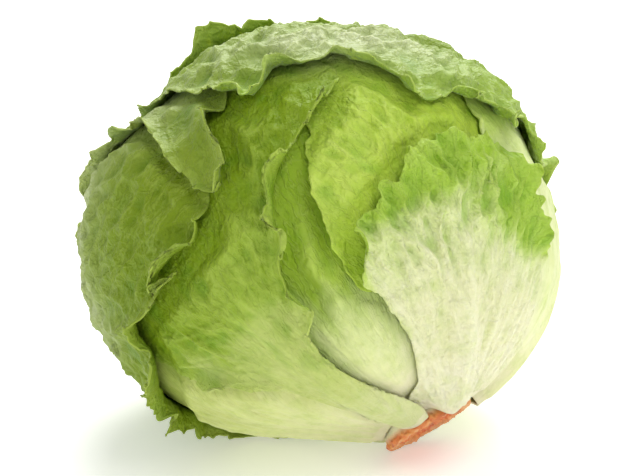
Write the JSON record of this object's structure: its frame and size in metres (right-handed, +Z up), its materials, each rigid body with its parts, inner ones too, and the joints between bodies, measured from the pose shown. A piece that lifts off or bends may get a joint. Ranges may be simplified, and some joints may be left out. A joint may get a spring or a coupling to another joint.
{
  "type": "iceberg lettuce head",
  "caption": "Round crisphead lettuce lying on its side: overlapping ribbed and frilled wrapper leaves round a folded heart, with a cut stem at the low front right.",
  "frame": {"origin": "on the surface that the head lies on, under the middle of the head's bounding box", "axes": "+Z up, +X to the right in the picture, +Y away from the viewer; the cut stem points to the front, right and down, and the crown to the back, left and up"},
  "size_m": [0.1572, 0.1588, 0.1397],
  "materials": {
    "stem": "rough, dry cut face",
    "heart": "satin",
    "leaf_pale": "satin, waxy",
    "leaf_green": "satin, waxy",
    "leaf_dark": "satin, waxy"
  },
  "bodies": {
    "root": {"stem": "stem", "heart": "heart", "leaf_front_inner": "leaf_green", "leaf_upper_inner": "leaf_green", "leaf_right": "leaf_pale", "leaf_belly": "leaf_pale", "leaf_front_ribbed": "leaf_pale", "leaf_front_left": "leaf_green", "leaf_left": "leaf_dark", "leaf_upper_left": "leaf_dark", "leaf_crown": "leaf_dark", "leaf_back": "leaf_dark"}
  },
  "joints": []
}
